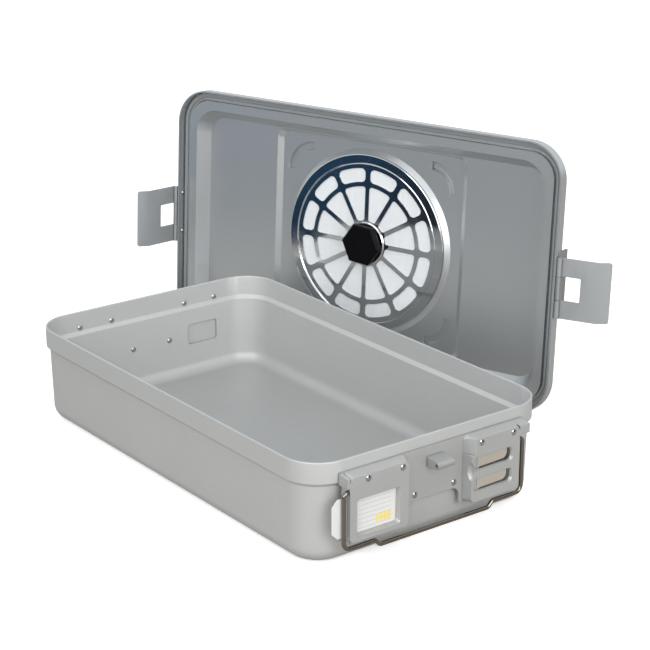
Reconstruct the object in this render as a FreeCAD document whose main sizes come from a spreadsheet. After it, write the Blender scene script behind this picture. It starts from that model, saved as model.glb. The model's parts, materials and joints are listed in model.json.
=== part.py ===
"""Sterilization container, three-quarter size: an open tub with its lid stood up behind it.

Millimetres. The origin is the centre of the tub's base, +X runs to the near short end, +Y to the
long side where the lid stands, and +Z is up. Lid pieces are drawn in the lid's own frame, where
z = 0 is the free edge of the skirt and +z runs to the roof, and take the lid's placement.
"""
import FreeCAD, Part
import os
import re

import Sketcher
from FreeCAD import Placement, Rotation, Vector

SIZES = {
    # Tub: drawn sheet with a wider band under its rim
    "rim_length": 470.0,
    "rim_width": 276.0,
    "rim_corner": 37.0,
    "tub_height": 98.5,
    "tub_wall": 2.0,
    "rim_rounding": 0.8,
    "band_height": 20.0,
    "band_step": 3.5,
    "band_easing": 3.0,
    "step_easing": 0.8,
    "wall_draft": 2.0,
    "base_rounding": 14.0,
    "floor_rise": 1.0,
    "floor_margin": 22.0,
    "dent_low": 32.0,
    "dent_high": 59.0,
    "dent_inner": 45.0,
    "dent_outer": 86.0,
    "dent_depth": 2.6,
    # End plates: pressed sheet with a label box and a tag box
    "plate_sheet": 1.5,
    "plate_low": 22.0,
    "plate_high": 87.5,
    "box_depth": 11.0,
    "box_slope": 2.4,
    "box_corner": 5.0,
    "recess_half": 32.3,
    "label_box_outer": 103.5,
    "label_box_inner": 38.5,
    "tag_box_inner": 34.0,
    "tag_box_outer": 91.2,
    "tag_box_foot": 98.5,
    "hood_left": 106.5,
    "hood_right": 103.0,
    "hood_low": 76.4,
    "arch_left": 30.0,
    "arch_right": 29.0,
    "arch_top": 39.0,
    "arch_corner": 9.0,
    "label_left": 96.0,
    "label_right": 48.0,
    "label_low": 29.0,
    "label_high": 64.0,
    "label_bevel": 1.5,
    "window_corner": 3.0,
    "frame_rim": 2.0,
    "tag_left": 36.5,
    "tag_right": 83.0,
    "tag_low": 33.5,
    "tag_opening": 14.0,
    "tag_pitch": 20.6,
    "tag_frame_depth": 3.0,
    "tag_corner": 4.5,
    "tag_slit": 3.6,
    "tag_solid_edge": 41.0,
    "scoop_height": 10.0,
    "scoop_radius": 5.5,
    "scoop_level": 55.0,
    "shoulder_width": 6.5,
    "shoulder_low": 70.0,
    "guide_rib": 1.6,
    # Catch lugs that the latches hook under
    "lug_width": 19.0,
    "lug_height": 10.0,
    "lug_level": 73.0,
    "lug_reach": 13.0,
    "lug_nose": 3.4,
    "seal_hole": 1.7,
    # Rivets of the end plates
    "rivet_outer": 83.7,
    "rivet_inner": 45.5,
    "rivet_level": 81.0,
    "rivet_low_span": 22.7,
    "rivet_low_level": 44.5,
    "rivet_shank": 2.0,
    "rivet_head": 3.1,
    "rivet_crown": 1.2,
    "rivet_boss": 4.6,
    # Wire bails
    "wire_radius": 2.0,
    "bail_inset": 2.7,
    "bail_shift": 5.8,
    "bail_half": 102.6,
    "bail_pivot": 72.0,
    "bail_drop": 53.2,
    "bail_grip": 62.5,
    "bail_joggle": 5.4,
    "bail_bend": 4.0,
    "bail_corner": 7.0,
    "bail_tail": 9.5,
    "pivot_gap": 0.1,
    "bend_gap": 0.4,
    # Label cards
    "card_thickness": 0.6,
    "card_gap": 0.3,
    "card_low": 30.0,
    "card_high": 67.0,
    "card_right": 46.5,
    "card_tip": 119.5,
    "card_chamfer": 6.0,
    # Lid: drawn sheet, skirt, gasket channel, raised roof and raised middle zone
    "lid_length": 477.0,
    "lid_width": 285.0,
    "lid_corner": 38.5,
    "lid_sheet": 1.6,
    "lid_rounding": 3.0,
    "channel_depth": 12.0,
    "channel_width": 11.5,
    "ridge_depth": 6.0,
    "ridge_width": 8.0,
    "roof_depth": 23.0,
    "roof_half_length": 210.0,
    "roof_half_width": 111.0,
    "roof_corner": 20.0,
    "zone_rise": 4.0,
    "zone_half_length": 113.3,
    "zone_half_width": 108.0,
    "zone_slope": 6.0,
    "zone_corner": 10.0,
    "gasket_height": 3.0,
    "gasket_gap": 1.4,
    "gasket_groove": 1.0,
    "gasket_lip": 2.2,
    # Stacking ribs in the zone's corners
    "rib_centre_length": 74.0,
    "rib_centre_width": 67.0,
    "rib_radius": 28.0,
    "rib_half_width": 5.4,
    "rib_depth": 4.0,
    # Filter seat, vent holes and stud
    "seat_inner": 84.0,
    "seat_face_inner": 88.0,
    "seat_face_outer": 97.0,
    "seat_outer": 102.0,
    "seat_height": 4.6,
    "vent_radius": 2.6,
    "vent_ring_first": 26.0,
    "vent_ring_step": 16.0,
    "stud_radius": 4.0,
    "stud_tip": 14.0,
    "stud_flange": 9.0,
    "stud_flange_height": 1.0,
    "stud_tail": 2.5,
    # Retention plate, seal and filter
    "retainer_radius": 96.8,
    "retainer_sheet": 1.0,
    "retainer_step": 0.8,
    "groove_radius": 87.0,
    "seal_inner": 89.0,
    "seal_outer": 94.0,
    "filter_radius": 94.0,
    "filter_hole": 9.0,
    "filter_thickness": 0.4,
    "filter_gap": 0.2,
    "sector_count": 12,
    "window_inner": 25.0,
    "window_outer": 62.0,
    "window_rounding": 3.0,
    "spoke_width": 4.9,
    "slot_inner": 66.8,
    "slot_outer": 81.6,
    "slot_rounding": 5.0,
    "slot_gap": 6.3,
    "collar_inner": 14.3,
    "collar_outer": 23.8,
    "collar_height": 1.4,
    # Release button
    "button_radius": 23.5,
    "button_turn": 5.0,
    "button_height": 8.0,
    "button_lift": 3.8,
    "button_edge": 1.6,
    "button_hub": 8.0,
    "button_hub_reach": 5.2,
    "slide_gap": 0.06,
    # Latches
    "hinge_offset": 3.5,
    "hinge_depth": 1.0,
    "knuckle_radius": 2.6,
    "knuckle_half": 12.0,
    "latch_pin": 1.2,
    "pin_gap": 0.05,
    "bracket_half": 35.0,
    "bracket_sheet": 1.5,
    "bracket_reach": 21.0,
    "bracket_rivet_span": 22.0,
    "bracket_rivet_level": 7.4,
    "bracket_rivet_head": 2.6,
    "bracket_rivet_shank": 1.4,
    "bracket_rivet_crown": 1.0,
    "flap_half": 31.5,
    "flap_sheet": 1.5,
    "flap_length": 41.0,
    "flap_shift": 2.0,
    "flap_window_half": 12.5,
    "flap_window_end": 22.5,
    "flap_window_corner": 1.5,
    "lip_length": 13.0,
    "lip_flare": 30.0,
    "lip_corner": 2.5,
    "right_flap_open": 99.0,
    "left_flap_open": 7.0,
    # Where the lid stands, as in the photograph
    "lid_place_x": -126.0,
    "lid_place_y": 194.0,
    "lid_yaw": 19.0,
    "lid_lean": 3.5,
}

HALF_TURN = 180.0
QUARTER_TURN = 90.0
VENT_RINGS = (8, 14, 20, 26)
PLANES = {"top": "XY_Plane", "front": "XZ_Plane", "end": "YZ_Plane"}
Z_AXIS = Vector(0, 0, 1)
X_AXIS = Vector(1, 0, 0)
Y_AXIS = Vector(0, 1, 0)

doc = FreeCAD.newDocument("Container")
sheet = doc.addObject("Spreadsheet::Sheet", "Sizes")
for row, (alias, size) in enumerate(SIZES.items(), start=1):
    sheet.set(f"A{row}", alias)
    sheet.set(f"B{row}", str(size))
    sheet.setAlias(f"B{row}", alias)
doc.recompute()

nodes = []


def cell(formula):
    """Formula with every size name pointed at its cell."""
    return re.sub(r"[a-z][a-z_0-9]+", lambda word: f"Sizes.{word[0]}" if word[0] in SIZES else word[0], formula)


def number(formula):
    """Value of a formula over the sheet's sizes."""
    return float(sheet.evalExpression(cell(formula)))


def new_body(label, placement=None):
    """Empty body that becomes one node."""
    body = doc.addObject("PartDesign::Body", label)
    body.Label = label
    body.AllowCompound = True
    if placement is not None:
        body.Placement = placement
    nodes.append(body)
    return body


def new_sketch(body, name, plane, offset="0 * tub_wall"):
    """Sketch on one of the body's planes, shifted along the plane's normal."""
    sketch = body.newObject("Sketcher::SketchObject", name)
    support = [item for item in body.Origin.OriginFeatures if item.Role == PLANES[plane]][0]
    sketch.AttachmentSupport = [(support, "")]
    sketch.MapMode = "FlatFace"
    sketch.setExpression("AttachmentOffset.Base.z", cell(offset))
    return sketch


def arc_between(start, end, radius, side):
    """Arc from start to end, with its centre to the left of the way there for side +1."""
    chord = end - start
    middle = (start + end) * 0.5
    normal = Vector(-chord.y, chord.x, 0).normalize()
    reach = max(radius ** 2 - (chord.Length / 2) ** 2, 0.0) ** 0.5
    centre = middle + normal * (reach * side)
    first, last = (start, end) if side > 0 else (end, start)
    circle = Part.Circle(centre, Z_AXIS, radius)
    return Part.ArcOfCircle(circle, circle.parameter(first), circle.parameter(last))


def outline(sketch, corners, closed=True):
    """Chain of edges through corners (x, y) or (x, y, radius, side), tied to the sheet.

    A corner with a radius starts a round edge, and the others start a straight one.
    """
    points = [Vector(number(corner[0]), number(corner[1]), 0) for corner in corners]
    edge_count = len(corners) if closed else len(corners) - 1
    first = sketch.GeometryCount
    ends = []
    for index in range(edge_count):
        corner = corners[index]
        start = points[index]
        end = points[(index + 1) % len(points)]
        if len(corner) == 2:
            sketch.addGeometry(Part.LineSegment(start, end), False)
            ends.append((1, 2))
        else:
            sketch.addGeometry(arc_between(start, end, number(corner[2]), corner[3]), False)
            ends.append((1, 2) if corner[3] > 0 else (2, 1))
    joints = edge_count if closed else edge_count - 1
    for index in range(joints):
        follower = (index + 1) % edge_count
        sketch.addConstraint(Sketcher.Constraint(
            "Coincident", first + index, ends[index][1], first + follower, ends[follower][0]))
    for index, corner in enumerate(corners):
        last_open = not closed and index == len(corners) - 1
        edge = first + index - (1 if last_open else 0)
        end = ends[index - 1][1] if last_open else ends[index][0]
        for kind, formula, value in (("DistanceX", corner[0], points[index].x),
                                     ("DistanceY", corner[1], points[index].y)):
            datum = sketch.addConstraint(Sketcher.Constraint(kind, -1, 1, edge, end, value))
            sketch.setExpression(f"Constraints[{datum}]", cell(formula))
        if len(corner) > 2:
            datum = sketch.addConstraint(Sketcher.Constraint("Radius", edge, number(corner[2])))
            sketch.setExpression(f"Constraints[{datum}]", cell(corner[2]))


def circle(sketch, x, y, radius):
    """Circle tied to the sheet."""
    centre = Vector(number(x), number(y), 0)
    edge = sketch.addGeometry(Part.Circle(centre, Z_AXIS, number(radius)), False)
    for kind, formula, value in (("DistanceX", x, centre.x), ("DistanceY", y, centre.y)):
        datum = sketch.addConstraint(Sketcher.Constraint(kind, -1, 1, edge, 3, value))
        sketch.setExpression(f"Constraints[{datum}]", cell(formula))
    datum = sketch.addConstraint(Sketcher.Constraint("Radius", edge, number(radius)))
    sketch.setExpression(f"Constraints[{datum}]", cell(radius))


def rectangle(x_low, x_high, y_low, y_high):
    """Corners of a plain rectangle."""
    return [(x_low, y_low), (x_high, y_low), (x_high, y_high), (x_low, y_high)]


def rounded(x_low, x_high, y_low, y_high, radius):
    """Corners of a rectangle with four round corners."""
    return [
        (f"{x_low} + {radius}", y_low),
        (f"{x_high} - {radius}", y_low, radius, 1),
        (x_high, f"{y_low} + {radius}"),
        (x_high, f"{y_high} - {radius}", radius, 1),
        (f"{x_high} - {radius}", y_high),
        (f"{x_low} + {radius}", y_high, radius, 1),
        (x_low, f"{y_high} - {radius}"),
        (x_low, f"{y_low} + {radius}", radius, 1),
    ]


def centred(half_length, half_width, radius):
    """Corners of a rounded rectangle about the origin."""
    return rounded(f"-({half_length})", f"({half_length})", f"-({half_width})", f"({half_width})", f"({radius})")


def feature(body, kind, name, profile, **settings):
    """Feature on a profile: text settings are formulas over the sheet, others are set as they are."""
    made = body.newObject(f"PartDesign::{kind}", name)
    made.Profile = profile
    for key, value in settings.items():
        if isinstance(value, str):
            made.setExpression(key, cell(value))
        else:
            setattr(made, key, value)
    body.Tip = made
    return made


def block(body, kind, name, plane, offset, corners, length, reverse=False):
    """Pad or pocket of one outline."""
    sketch = new_sketch(body, f"{name}_sketch", plane, offset)
    outline(sketch, corners)
    return feature(body, kind, name, sketch, Length=length, Reversed=reverse)


def loft(body, kind, name, plane, levels):
    """Ruled loft through (offset, corners) levels."""
    sketches = []
    for index, (offset, corners) in enumerate(levels):
        sketch = new_sketch(body, f"{name}_level_{index}", plane, offset)
        outline(sketch, corners)
        sketches.append(sketch)
    return feature(body, kind, name, sketches[0], Sections=sketches[1:], Ruled=True)


def revolve(body, kind, name, corners, placement=None):
    """Full turn of an (r, z) outline about the sketch's upright axis."""
    sketch = new_sketch(body, f"{name}_sketch", "front")
    outline(sketch, corners)
    if placement is not None:
        sketch.AttachmentOffset = placement
    return feature(body, kind, name, sketch, ReferenceAxis=(sketch, ["V_Axis"]))


def soften(body, kind, name, test, **settings):
    """Fillet or chamfer on the edges of the last feature that pass the test."""
    doc.recompute()
    base = body.Tip
    names = [f"Edge{index}" for index, edge in enumerate(base.Shape.Edges, start=1) if test(edge)]
    made = body.newObject(f"PartDesign::{kind}", name)
    made.Base = (base, names)
    for key, formula in settings.items():
        made.setExpression(key, cell(formula))
    body.Tip = made
    return made


def level_edge(height):
    """Test for an edge that lies at one height all along."""
    return lambda edge: abs(edge.BoundBox.ZMin - height) < 0.01 and abs(edge.BoundBox.ZMax - height) < 0.01


def polar(radius, angle):
    """Corner at a radius and an angle."""
    return (f"({radius}) * cos({angle})", f"({radius}) * sin({angle})")


TUB_LENGTH = "rim_length / 2"
TUB_WIDTH = "rim_width / 2"
BAND_LOW = "(tub_height - band_height)"
WALL_TOP = "(tub_height - band_height - band_step)"
PLATE_BACK = "rim_length / 2"
PLATE_FRONT = "(rim_length / 2 + plate_sheet)"
BOX_FACE = "(rim_length / 2 + plate_sheet + box_depth)"
BOX_INSIDE = "(rim_length / 2 + box_depth)"
BAIL_PLANE = "(rim_length / 2 + plate_sheet + box_depth - bail_inset)"
CARD_FRONT = "(rim_length / 2 + plate_sheet + box_depth - bail_inset - wire_radius - card_gap)"


def tub_level(inset, extra_radius="0 * tub_wall"):
    """Tub outline set in from the rim by a formula."""
    return centred(f"{TUB_LENGTH} - ({inset})", f"{TUB_WIDTH} - ({inset})", f"rim_corner - ({inset}) + {extra_radius}")


def make_tub():
    """Drawn tub: tapered wall, stepped band, raised floor and a dent behind each label box."""
    body = new_body("tub_shell")
    loft(body, "AdditiveLoft", "tub_wall_outside", "top", [
        ("0 * tub_wall", tub_level("band_step + wall_draft")),
        (WALL_TOP, tub_level("band_step")),
    ])
    loft(body, "AdditiveLoft", "tub_band_slope", "top", [
        (WALL_TOP, tub_level("band_step")),
        (BAND_LOW, tub_level("0 * band_step")),
    ])
    block(body, "Pad", "tub_band", "top", BAND_LOW, tub_level("0 * band_step"), "band_height")
    add_dents(body, "Pad", "tub_dent_outside", "0 * tub_wall", "tub_wall")
    loft(body, "SubtractiveLoft", "tub_wall_inside", "top", [
        ("tub_wall", tub_level("band_step + wall_draft + tub_wall")),
        (WALL_TOP, tub_level("band_step + tub_wall")),
    ])
    soften(body, "Fillet", "tub_floor_edge", level_edge(number("tub_wall")), Radius="base_rounding - tub_wall")
    soften(body, "Fillet", "tub_base_edge", level_edge(0.0), Radius="base_rounding")
    slope_shift = "tub_wall * 0.41"
    loft(body, "SubtractiveLoft", "tub_slope_inside", "top", [
        (f"{WALL_TOP} - {slope_shift}", tub_level("band_step + tub_wall")),
        (f"{BAND_LOW} - {slope_shift}", tub_level("tub_wall")),
    ])
    block(body, "Pocket", "tub_band_inside", "top", f"{BAND_LOW} - {slope_shift}", tub_level("tub_wall"),
          f"band_height + {slope_shift}", reverse=True)
    raised = centred(f"{TUB_LENGTH} - band_step - wall_draft - floor_margin",
                     f"{TUB_WIDTH} - band_step - wall_draft - floor_margin", "rim_corner - floor_margin + tub_wall")
    block(body, "Pad", "tub_floor_raised", "top", "tub_wall", raised, "floor_rise")
    soften(body, "Fillet", "tub_step_edge", level_edge(number("tub_wall + floor_rise")), Radius="step_easing")
    add_dents(body, "Pocket", "tub_dent_inside", "tub_wall", "0 * tub_wall")
    add_rivet_holes(body)
    soften(body, "Fillet", "tub_rim_edge", level_edge(number("tub_height")), Radius="rim_rounding")


def add_dents(body, kind, name, inset, outer_sheet):
    """Shallow outward dent in the wall behind each label box, one turned half round to the other."""
    reach = f"({TUB_LENGTH} - band_step - wall_draft / 2 + dent_depth - {inset})"
    for end, sign in (("near", -1), ("far", 1)):
        low, high = ("dent_inner", "dent_outer") if sign > 0 else ("-dent_outer", "-dent_inner")
        corners = rounded(f"({low} + {inset})", f"({high} - {inset})", f"(dent_low + {inset})",
                          f"(dent_high - {inset})", "window_corner")
        start = f"{TUB_LENGTH} - band_step - wall_draft - tub_wall * 2"
        offset = start if end == "near" else f"-({start})"
        depth = f"{reach} - ({start})"
        forward = end == "near"
        reverse = not forward if kind == "Pad" else forward
        block(body, kind, f"{name}_{end}", "end", offset, corners, depth, reverse=reverse)


def rivet_places():
    """(y, z) of the six rivets of an end plate."""
    upper = [(f"{sign}{span}", "rivet_level") for span in ("rivet_outer", "rivet_inner") for sign in ("-", "")]
    return upper + [("-rivet_low_span", "rivet_low_level"), ("rivet_low_span", "rivet_low_level")]


def add_rivet_holes(body):
    """Rivet holes through both ends of the tub."""
    sketch = new_sketch(body, "tub_rivet_sketch", "end", f"-({TUB_LENGTH}) - tub_wall")
    for y, z in rivet_places():
        circle(sketch, y, z, "rivet_shank")
    feature(body, "Pocket", "tub_rivet_holes", sketch, Length="rim_length + tub_wall * 2", Reversed=True)


def box_levels(inner, outer, outer_foot, inset, depth_start, depth_end, inner_foot):
    """Foot and face outlines of a pressed box, set in by a formula."""
    foot = rounded(f"({inner_foot} + {inset})", f"({outer_foot} - {inset})", f"(plate_low + {inset})",
                   f"(plate_high - {inset})", f"(box_corner - {inset} / 2)")
    face = rounded(f"({inner} + {inset})", f"({outer} - {inset})", f"(plate_low + box_slope + {inset})",
                   f"(plate_high - box_slope - {inset})", f"(box_corner - {inset} / 2)")
    return [(depth_start, foot), (depth_end, face)]


def make_end_plate(end, placement):
    """Pressed end plate: sheet with an arch, label box, tag box, windows, hoods and rivet bosses."""
    body = new_body(f"{end}_end_plate", placement)
    block(body, "Pad", "plate_sheet_pad", "end", PLATE_BACK, [
        ("-label_box_outer", "plate_low"),
        ("-arch_left", "plate_low"),
        ("-arch_left", "arch_top - arch_corner", "arch_corner", -1),
        ("-arch_left + arch_corner", "arch_top"),
        ("arch_right - arch_corner", "arch_top", "arch_corner", -1),
        ("arch_right", "arch_top - arch_corner"),
        ("arch_right", "plate_low"),
        ("tag_box_foot", "plate_low"),
        ("tag_box_foot", "hood_low"),
        ("hood_right", "hood_low"),
        ("hood_right", "plate_high"),
        ("-hood_left", "plate_high"),
        ("-hood_left", "hood_low"),
        ("-label_box_outer", "hood_low"),
    ], "plate_sheet")
    label_outside = box_levels("-label_box_outer", "-label_box_inner", "-recess_half", "0 * tub_wall",
                               PLATE_BACK, BOX_FACE, "-label_box_outer")
    tag_outside = box_levels("tag_box_inner", "tag_box_outer", "tag_box_foot", "0 * tub_wall",
                             PLATE_BACK, BOX_FACE, "recess_half")
    loft(body, "AdditiveLoft", "label_box", "end", label_outside)
    loft(body, "AdditiveLoft", "tag_box", "end", tag_outside)
    add_hoods(body, "AdditiveLoft", "hood", BOX_FACE, "0 * tub_wall")
    add_shoulder(body)
    loft(body, "SubtractiveLoft", "label_box_hollow", "end",
         box_levels("-label_box_outer", "-label_box_inner", "-recess_half", "plate_sheet",
                    PLATE_BACK, BOX_INSIDE, "-label_box_outer"))
    loft(body, "SubtractiveLoft", "tag_box_hollow", "end",
         box_levels("tag_solid_edge", "tag_box_outer", "tag_box_foot", "plate_sheet",
                    PLATE_BACK, BOX_INSIDE, "tag_solid_edge"))
    add_hoods(body, "SubtractiveLoft", "hood_hollow", BOX_INSIDE, "plate_sheet")
    add_label_window(body)
    add_tag_windows(body)
    add_bosses(body)
    add_pivot_holes(body)
    return body


def add_hoods(body, kind, name, front, inset):
    """Corner hoods that overhang the bail's pivots: open below, their tops sloped like the boxes."""
    top = f"plate_high - {inset}"
    sloped_top = f"plate_high - box_slope - {inset}"
    inner_right = "tag_box_outer" if kind == "AdditiveLoft" else "tag_box_foot"
    sides = (("left", f"-hood_left + {inset}", "-label_box_outer"),
             ("right", inner_right, f"hood_right - {inset}"))
    for side, low, high in sides:
        loft(body, kind, f"{name}_{side}", "end", [
            (PLATE_BACK, rectangle(low, high, "hood_low", top)),
            (front, rectangle(low, high, "hood_low", sloped_top)),
        ])


def add_shoulder(body):
    """Sloped shoulder and finger scoop on the inner side of the tag box."""
    sketch = new_sketch(body, "shoulder_sketch", "top", "shoulder_low")
    outline(sketch, [
        (PLATE_FRONT, "recess_half - tub_wall"),
        (f"{BOX_FACE} + tub_wall", "recess_half - tub_wall"),
        (f"{BOX_FACE} + tub_wall", "tag_box_inner + shoulder_width"),
        (PLATE_FRONT, "recess_half"),
    ])
    feature(body, "Pocket", "shoulder", sketch, Length="plate_high", Reversed=True)
    scoop = body.newObject("PartDesign::SubtractiveEllipsoid", "finger_scoop")
    scoop.setExpression("Radius1", cell("scoop_height"))
    scoop.setExpression("Radius2", cell("scoop_radius"))
    scoop.setExpression("Radius3", cell("scoop_radius"))
    scoop.setExpression("Placement.Base.x", cell(f"{BOX_FACE}"))
    scoop.setExpression("Placement.Base.y", cell("recess_half - tub_wall / 2"))
    scoop.setExpression("Placement.Base.z", cell("scoop_level"))
    body.Tip = scoop


def add_label_window(body):
    """Label window with a deep bevelled frame, guide ribs and a slot for the card."""
    back = f"({CARD_FRONT} + card_gap)"
    block(body, "Pad", "label_frame", "end", back,
          rounded("(-label_left - frame_rim + plate_sheet / 2)", "(-label_right + frame_rim)",
                  "(label_low - frame_rim + plate_sheet / 2)", "(label_high + frame_rim)", "window_corner"),
          f"{BOX_INSIDE} - {back}")
    for name, low, high in (("label_guide_low", "card_low - card_gap - guide_rib", "card_low - card_gap"),
                            ("label_guide_high", "card_high + card_gap", "card_high + card_gap + guide_rib")):
        block(body, "Pad", name, "end", f"{CARD_FRONT} - card_thickness",
              rectangle("-label_box_outer + plate_sheet", "-card_right", low, high),
              f"{BOX_INSIDE} - {CARD_FRONT} + card_thickness")
    loft(body, "SubtractiveLoft", "label_window", "end", [
        (BOX_FACE, rounded("-label_left", "-label_right", "label_low", "label_high", "window_corner")),
        (back, rounded("(-label_left + label_bevel)", "(-label_right - label_bevel)",
                       "(label_low + label_bevel)", "(label_high - label_bevel)", "window_corner")),
    ])
    block(body, "Pocket", "card_slot", "end", f"{CARD_FRONT} - card_thickness - card_gap",
          rectangle("-label_box_outer - plate_sheet", "-label_box_outer + plate_sheet * 2",
                    "card_low - card_gap", "card_high + card_gap"),
          "card_thickness + card_gap * 2", reverse=True)


def add_tag_windows(body):
    """Two tag windows, one above the other, each with a bevelled frame."""
    back = f"({BOX_FACE} - tag_frame_depth)"
    block(body, "Pad", "tag_frame", "end", back,
          rectangle("tag_solid_edge", "tag_right + frame_rim", "tag_low - frame_rim",
                    "tag_low + tag_pitch + tag_opening + frame_rim"),
          f"{BOX_INSIDE} - {back}")
    for name, low in (("lower", "tag_low"), ("upper", "(tag_low + tag_pitch)")):
        loft(body, "SubtractiveLoft", f"tag_window_{name}", "end", [
            (BOX_FACE, rounded("tag_left", "tag_right", low, f"({low} + tag_opening)", "tag_corner")),
            (back, rounded("(tag_left + frame_rim / 2)", "(tag_right - frame_rim / 2)", f"({low} + frame_rim / 2)",
                           f"({low} + tag_opening - frame_rim / 2)", "tag_corner")),
        ])


def add_bosses(body):
    """Round bosses that the rivets clamp, and the rivet holes through them."""
    sketch = new_sketch(body, "boss_upper_sketch", "end", PLATE_BACK)
    for y, z in rivet_places()[:4]:
        circle(sketch, y, z, "rivet_boss")
    feature(body, "Pad", "boss_upper", sketch, Length="box_depth")
    wall_gap = "(band_step + wall_draft * (1 - rivet_low_level / (tub_height - band_height - band_step)))"
    lean_room = "(rivet_boss * wall_draft / (tub_height - band_height - band_step))"
    sketch = new_sketch(body, "boss_lower_sketch", "end", PLATE_BACK)
    for y, z in rivet_places()[4:]:
        circle(sketch, y, z, "rivet_boss")
    feature(body, "Pad", "boss_lower", sketch, Length=f"{wall_gap} - {lean_room}", Reversed=True)
    sketch = new_sketch(body, "plate_rivet_sketch", "end", f"{PLATE_BACK} - band_step * 3")
    for y, z in rivet_places():
        circle(sketch, y, z, "rivet_shank")
    feature(body, "Pocket", "plate_rivet_holes", sketch, Length="box_depth * 3", Reversed=True)


def add_pivot_holes(body):
    """Holes for the bail's ends through the outer side of each box."""
    for name, y, gap in (("left", "(-label_box_outer - plate_sheet)", "pivot_gap"),
                         ("right", "(tag_box_outer - plate_sheet * 4)", "bend_gap")):
        sketch = new_sketch(body, f"pivot_sketch_{name}", "front", f"-{y}")
        circle(sketch, BAIL_PLANE, "bail_pivot", f"wire_radius + {gap}")
        feature(body, "Pocket", f"pivot_hole_{name}", sketch,
                Length="bail_tail + plate_sheet" if name == "left" else "bail_tail + plate_sheet * 3", Reversed=False)


def make_catch_lug(end, placement):
    """Extruded catch lug with a nose and a hole for a tamper seal."""
    body = new_body(f"{end}_catch_lug", placement)
    sketch = new_sketch(body, "lug_sketch", "front", "lug_width / 2")
    slope = "((lug_height / 2 - lug_nose) / lug_reach)"
    tip_x = f"{PLATE_FRONT} + lug_reach + lug_nose * {slope}"
    rise = f"lug_nose * sqrt(1 - {slope} * {slope})"
    outline(sketch, [
        (PLATE_FRONT, "lug_level - lug_height / 2"),
        (tip_x, f"lug_level - {rise}", "lug_nose", 1),
        (tip_x, f"lug_level + {rise}"),
        (PLATE_FRONT, "lug_level + lug_height / 2"),
    ])
    circle(sketch, f"{PLATE_FRONT} + lug_reach", "lug_level", "seal_hole")
    feature(body, "Pad", "lug", sketch, Length="lug_width", Reversed=True)


def make_plate_rivets(end, placement):
    """Six rivets: crowned head outside, shank, and a flat head on the tub's inside."""
    body = new_body(f"{end}_plate_rivets", placement)
    wall_at_low = "(band_step + wall_draft * (1 - rivet_low_level / (tub_height - band_height - band_step)))"
    wall_lean = "(rivet_head * wall_draft / (tub_height - band_height - band_step))"
    upper = (BOX_FACE, f"({PLATE_BACK} - tub_wall)")
    lower = (PLATE_FRONT, f"({PLATE_BACK} - tub_wall - {wall_at_low} - {wall_lean})")
    for index, (y, z) in enumerate(rivet_places()):
        face, inside = upper if index < 4 else lower
        sketch = new_sketch(body, f"rivet_sketch_{index}", "front", f"-({y})")
        outline(sketch, [
            (f"{inside} - rivet_crown", z),
            (f"{face} + rivet_crown", z),
            (f"{face} + rivet_crown / 2", f"{z} + rivet_head * 0.7"),
            (face, f"{z} + rivet_head"),
            (face, f"{z} + rivet_shank"),
            (inside, f"{z} + rivet_shank"),
            (inside, f"{z} + rivet_head"),
            (f"{inside} - rivet_crown", f"{z} + rivet_shank"),
        ])
        feature(body, "Revolution", f"rivet_{index}", sketch, ReferenceAxis=(sketch, ["Edge1"]))


def make_tag_springs(end, placement):
    """Spring sheet behind the tag windows, with a tongue cut free in each window."""
    body = new_body(f"{end}_tag_springs", placement)
    front = f"({BOX_FACE} - tag_frame_depth)"
    block(body, "Pad", "spring_sheet", "end", f"{front} - card_thickness",
          rectangle("tag_solid_edge + plate_sheet + card_gap", "tag_right + frame_rim", "tag_low - frame_rim",
                    "bail_pivot - wire_radius - card_gap"),
          "card_thickness")
    for name, low in (("lower", "(tag_low + frame_rim / 2)"), ("upper", "(tag_low + tag_pitch + frame_rim / 2)")):
        right = "(tag_right - frame_rim / 2)"
        high = f"({low} + tag_opening - frame_rim)"
        block(body, "Pocket", f"tongue_slit_{name}", "end", front, [
            ("tag_solid_edge + frame_rim * 2", low),
            (right, low),
            (right, high),
            (f"{right} - tag_slit", high),
            (f"{right} - tag_slit", f"{low} + tag_opening / 2", "tag_opening / 2", -1),
            (f"{right} - tag_slit * 2.2", f"{low} + tag_slit * 0.6"),
            ("tag_solid_edge + frame_rim * 2", f"{low} + tag_slit * 0.4"),
        ], "card_thickness")


def make_label_card(end, placement):
    """Card that slides out sideways, with a chamfered pull tab."""
    body = new_body(f"{end}_label_card", placement)
    block(body, "Pad", "card", "end", f"{CARD_FRONT} - card_thickness", [
        ("-card_tip + card_chamfer", "card_low"),
        ("-card_right", "card_low"),
        ("-card_right", "card_high"),
        ("-card_tip + card_chamfer", "card_high"),
        ("-card_tip", "card_high - card_chamfer"),
        ("-card_tip", "card_low + card_chamfer"),
    ], "card_thickness")


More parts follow.
